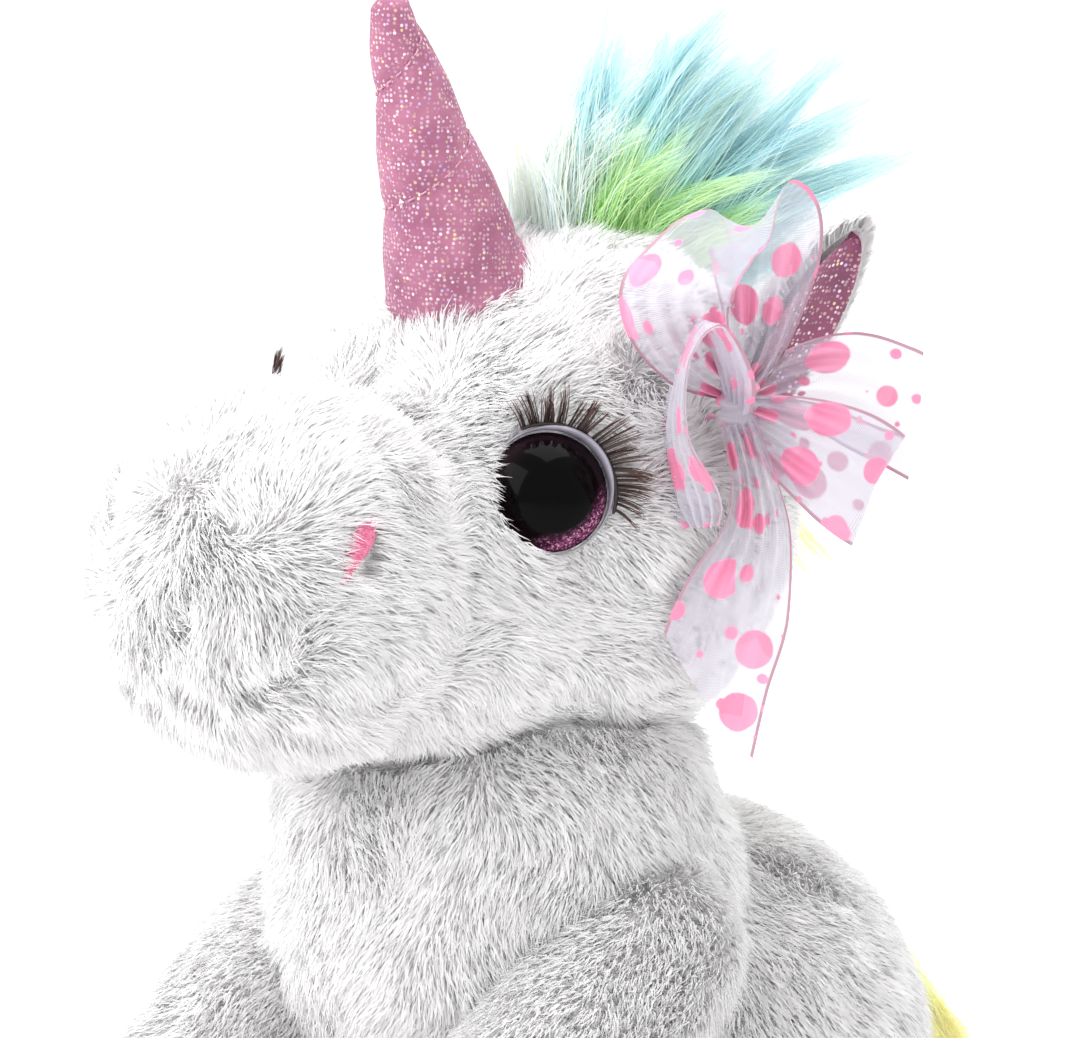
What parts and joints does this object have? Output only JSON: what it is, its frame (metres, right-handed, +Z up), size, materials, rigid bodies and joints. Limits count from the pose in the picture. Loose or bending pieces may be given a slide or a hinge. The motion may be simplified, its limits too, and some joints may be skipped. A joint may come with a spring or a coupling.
{
  "type": "plush unicorn",
  "caption": "Sitting white plush unicorn with a glitter-cloth horn, lashed safety eyes, a rainbow mane and a sheer dotted ribbon bow at its left ear; head, legs, ears and tail swing on their seams.",
  "frame": {"origin": "middle of the bounding box, on the floor the toy sits on", "axes": "+Z up; the toy faces -Y and its left side is +X"},
  "size_m": [0.2124, 0.2532, 0.2699],
  "materials": {
    "white_plush": "matte",
    "fibre_stuffing": "matte",
    "pellet_bag_cloth": "matte",
    "white_thread": "satin",
    "label_tape": "satin",
    "grey_plastic": "satin",
    "clear_plastic": "satin",
    "eye_plastic": "gloss",
    "lash_fibre": "satin",
    "pink_thread": "satin",
    "glitter_cloth": "satin",
    "dark_glitter_cloth": "satin",
    "aqua_pile": "matte",
    "green_pile": "matte",
    "yellow_pile": "matte",
    "organza": "satin"
  },
  "bodies": {
    "torso": {"body_skin": "white_plush", "pellet_bag": "pellet_bag_cloth", "body_stuffing": "fibre_stuffing", "neck_seam_thread": "white_thread", "closing_seam": "white_thread", "care_label": "label_tape"},
    "neck": {"neck_core": "fibre_stuffing"},
    "head": {"head_skin": "white_plush", "head_stuffing": "fibre_stuffing", "eye_left": "eye_plastic", "eye_rim_left": "grey_plastic", "eye_washer_left": "clear_plastic", "lash_strip_left": "lash_fibre", "eye_right": "eye_plastic", "eye_rim_right": "grey_plastic", "eye_washer_right": "clear_plastic", "lash_strip_right": "lash_fibre", "nostril_left": "pink_thread", "nostril_right": "pink_thread", "mouth_thread": "white_thread", "horn_cover": "glitter_cloth", "horn_stuffing": "fibre_stuffing", "horn_thread": "pink_thread", "mane_forelock": "aqua_pile", "mane_crown": "green_pile", "mane_nape": "yellow_pile", "bow_knot": "organza", "bow_upper_loop": "organza", "bow_front_loop": "organza", "bow_side_loop": "organza", "bow_side_tail": "organza", "bow_stitch": "pink_thread"},
    "ear_left": {"ear_back_left": "white_plush", "ear_lining_left": "dark_glitter_cloth"},
    "ear_right": {"ear_back_right": "white_plush", "ear_lining_right": "dark_glitter_cloth"},
    "ribbon_tail": {"bow_hanging_tail": "organza"},
    "tail": {"tail_hair": "yellow_pile"},
    "foreleg_left": {"foreleg_skin_left": "white_plush", "foreleg_stuffing_left": "fibre_stuffing", "foreleg_hoof_left": "glitter_cloth", "foreleg_sole_left": "dark_glitter_cloth"},
    "foreleg_right": {"foreleg_skin_right": "white_plush", "foreleg_stuffing_right": "fibre_stuffing", "foreleg_hoof_right": "glitter_cloth", "foreleg_sole_right": "dark_glitter_cloth"},
    "hindleg_left": {"hindleg_skin_left": "white_plush", "hindleg_stuffing_left": "fibre_stuffing", "hindleg_hoof_left": "glitter_cloth", "hindleg_sole_left": "dark_glitter_cloth"},
    "hindleg_right": {"hindleg_skin_right": "white_plush", "hindleg_stuffing_right": "fibre_stuffing", "hindleg_hoof_right": "glitter_cloth", "hindleg_sole_right": "dark_glitter_cloth"}
  },
  "joints": [
    {"name": "head_turn", "type": "hinge", "parent": "torso", "child": "neck", "pos_m": [0, -0.02204, 0.166], "axis": [0, 0, 1], "range_deg": [-20, 20], "stiffness_Nm_per_rad": 0.25},
    {"name": "head_nod", "type": "hinge", "parent": "neck", "child": "head", "pos_m": [0, -0.02204, 0.166], "axis": [1, 0, 0], "range_deg": [-10, 10], "stiffness_Nm_per_rad": 1.2},
    {"name": "ear_left_bend", "type": "hinge", "parent": "head", "child": "ear_left", "pos_m": [0.04271, 0.00039, 0.19612], "axis": [-0.1104, 0.9776, -0.1793], "range_deg": [-15, 20], "stiffness_Nm_per_rad": 0.02},
    {"name": "ear_right_bend", "type": "hinge", "parent": "head", "child": "ear_right", "pos_m": [-0.04271, 0.00039, 0.19612], "axis": [-0.1104, -0.9776, 0.1793], "range_deg": [-15, 20], "stiffness_Nm_per_rad": 0.02},
    {"name": "ribbon_tail_swing", "type": "hinge", "parent": "head", "child": "ribbon_tail", "pos_m": [0.06002, -0.02696, 0.18588], "axis": [-0.7431, -0.6691, 0], "range_deg": [-2, 35]},
    {"name": "foreleg_left_swing", "type": "hinge", "parent": "torso", "child": "foreleg_left", "pos_m": [0.038, -0.02204, 0.082], "axis": [-1, 0, 0], "range_deg": [-12, 35], "stiffness_Nm_per_rad": 0.25},
    {"name": "foreleg_right_swing", "type": "hinge", "parent": "torso", "child": "foreleg_right", "pos_m": [-0.038, -0.02204, 0.082], "axis": [-1, 0, 0], "range_deg": [-12, 35], "stiffness_Nm_per_rad": 0.25},
    {"name": "hindleg_left_swing", "type": "hinge", "parent": "torso", "child": "hindleg_left", "pos_m": [0.051, 0.02396, 0.027], "axis": [-1, 0, 0], "range_deg": [-6, 30], "stiffness_Nm_per_rad": 0.25},
    {"name": "hindleg_right_swing", "type": "hinge", "parent": "torso", "child": "hindleg_right", "pos_m": [-0.051, 0.02396, 0.027], "axis": [-1, 0, 0], "range_deg": [-6, 30], "stiffness_Nm_per_rad": 0.25},
    {"name": "tail_lift", "type": "hinge", "parent": "torso", "child": "tail", "pos_m": [0, 0.08899, 0.06], "axis": [1, 0, 0], "range_deg": [-12, 40], "stiffness_Nm_per_rad": 0.03}
  ]
}
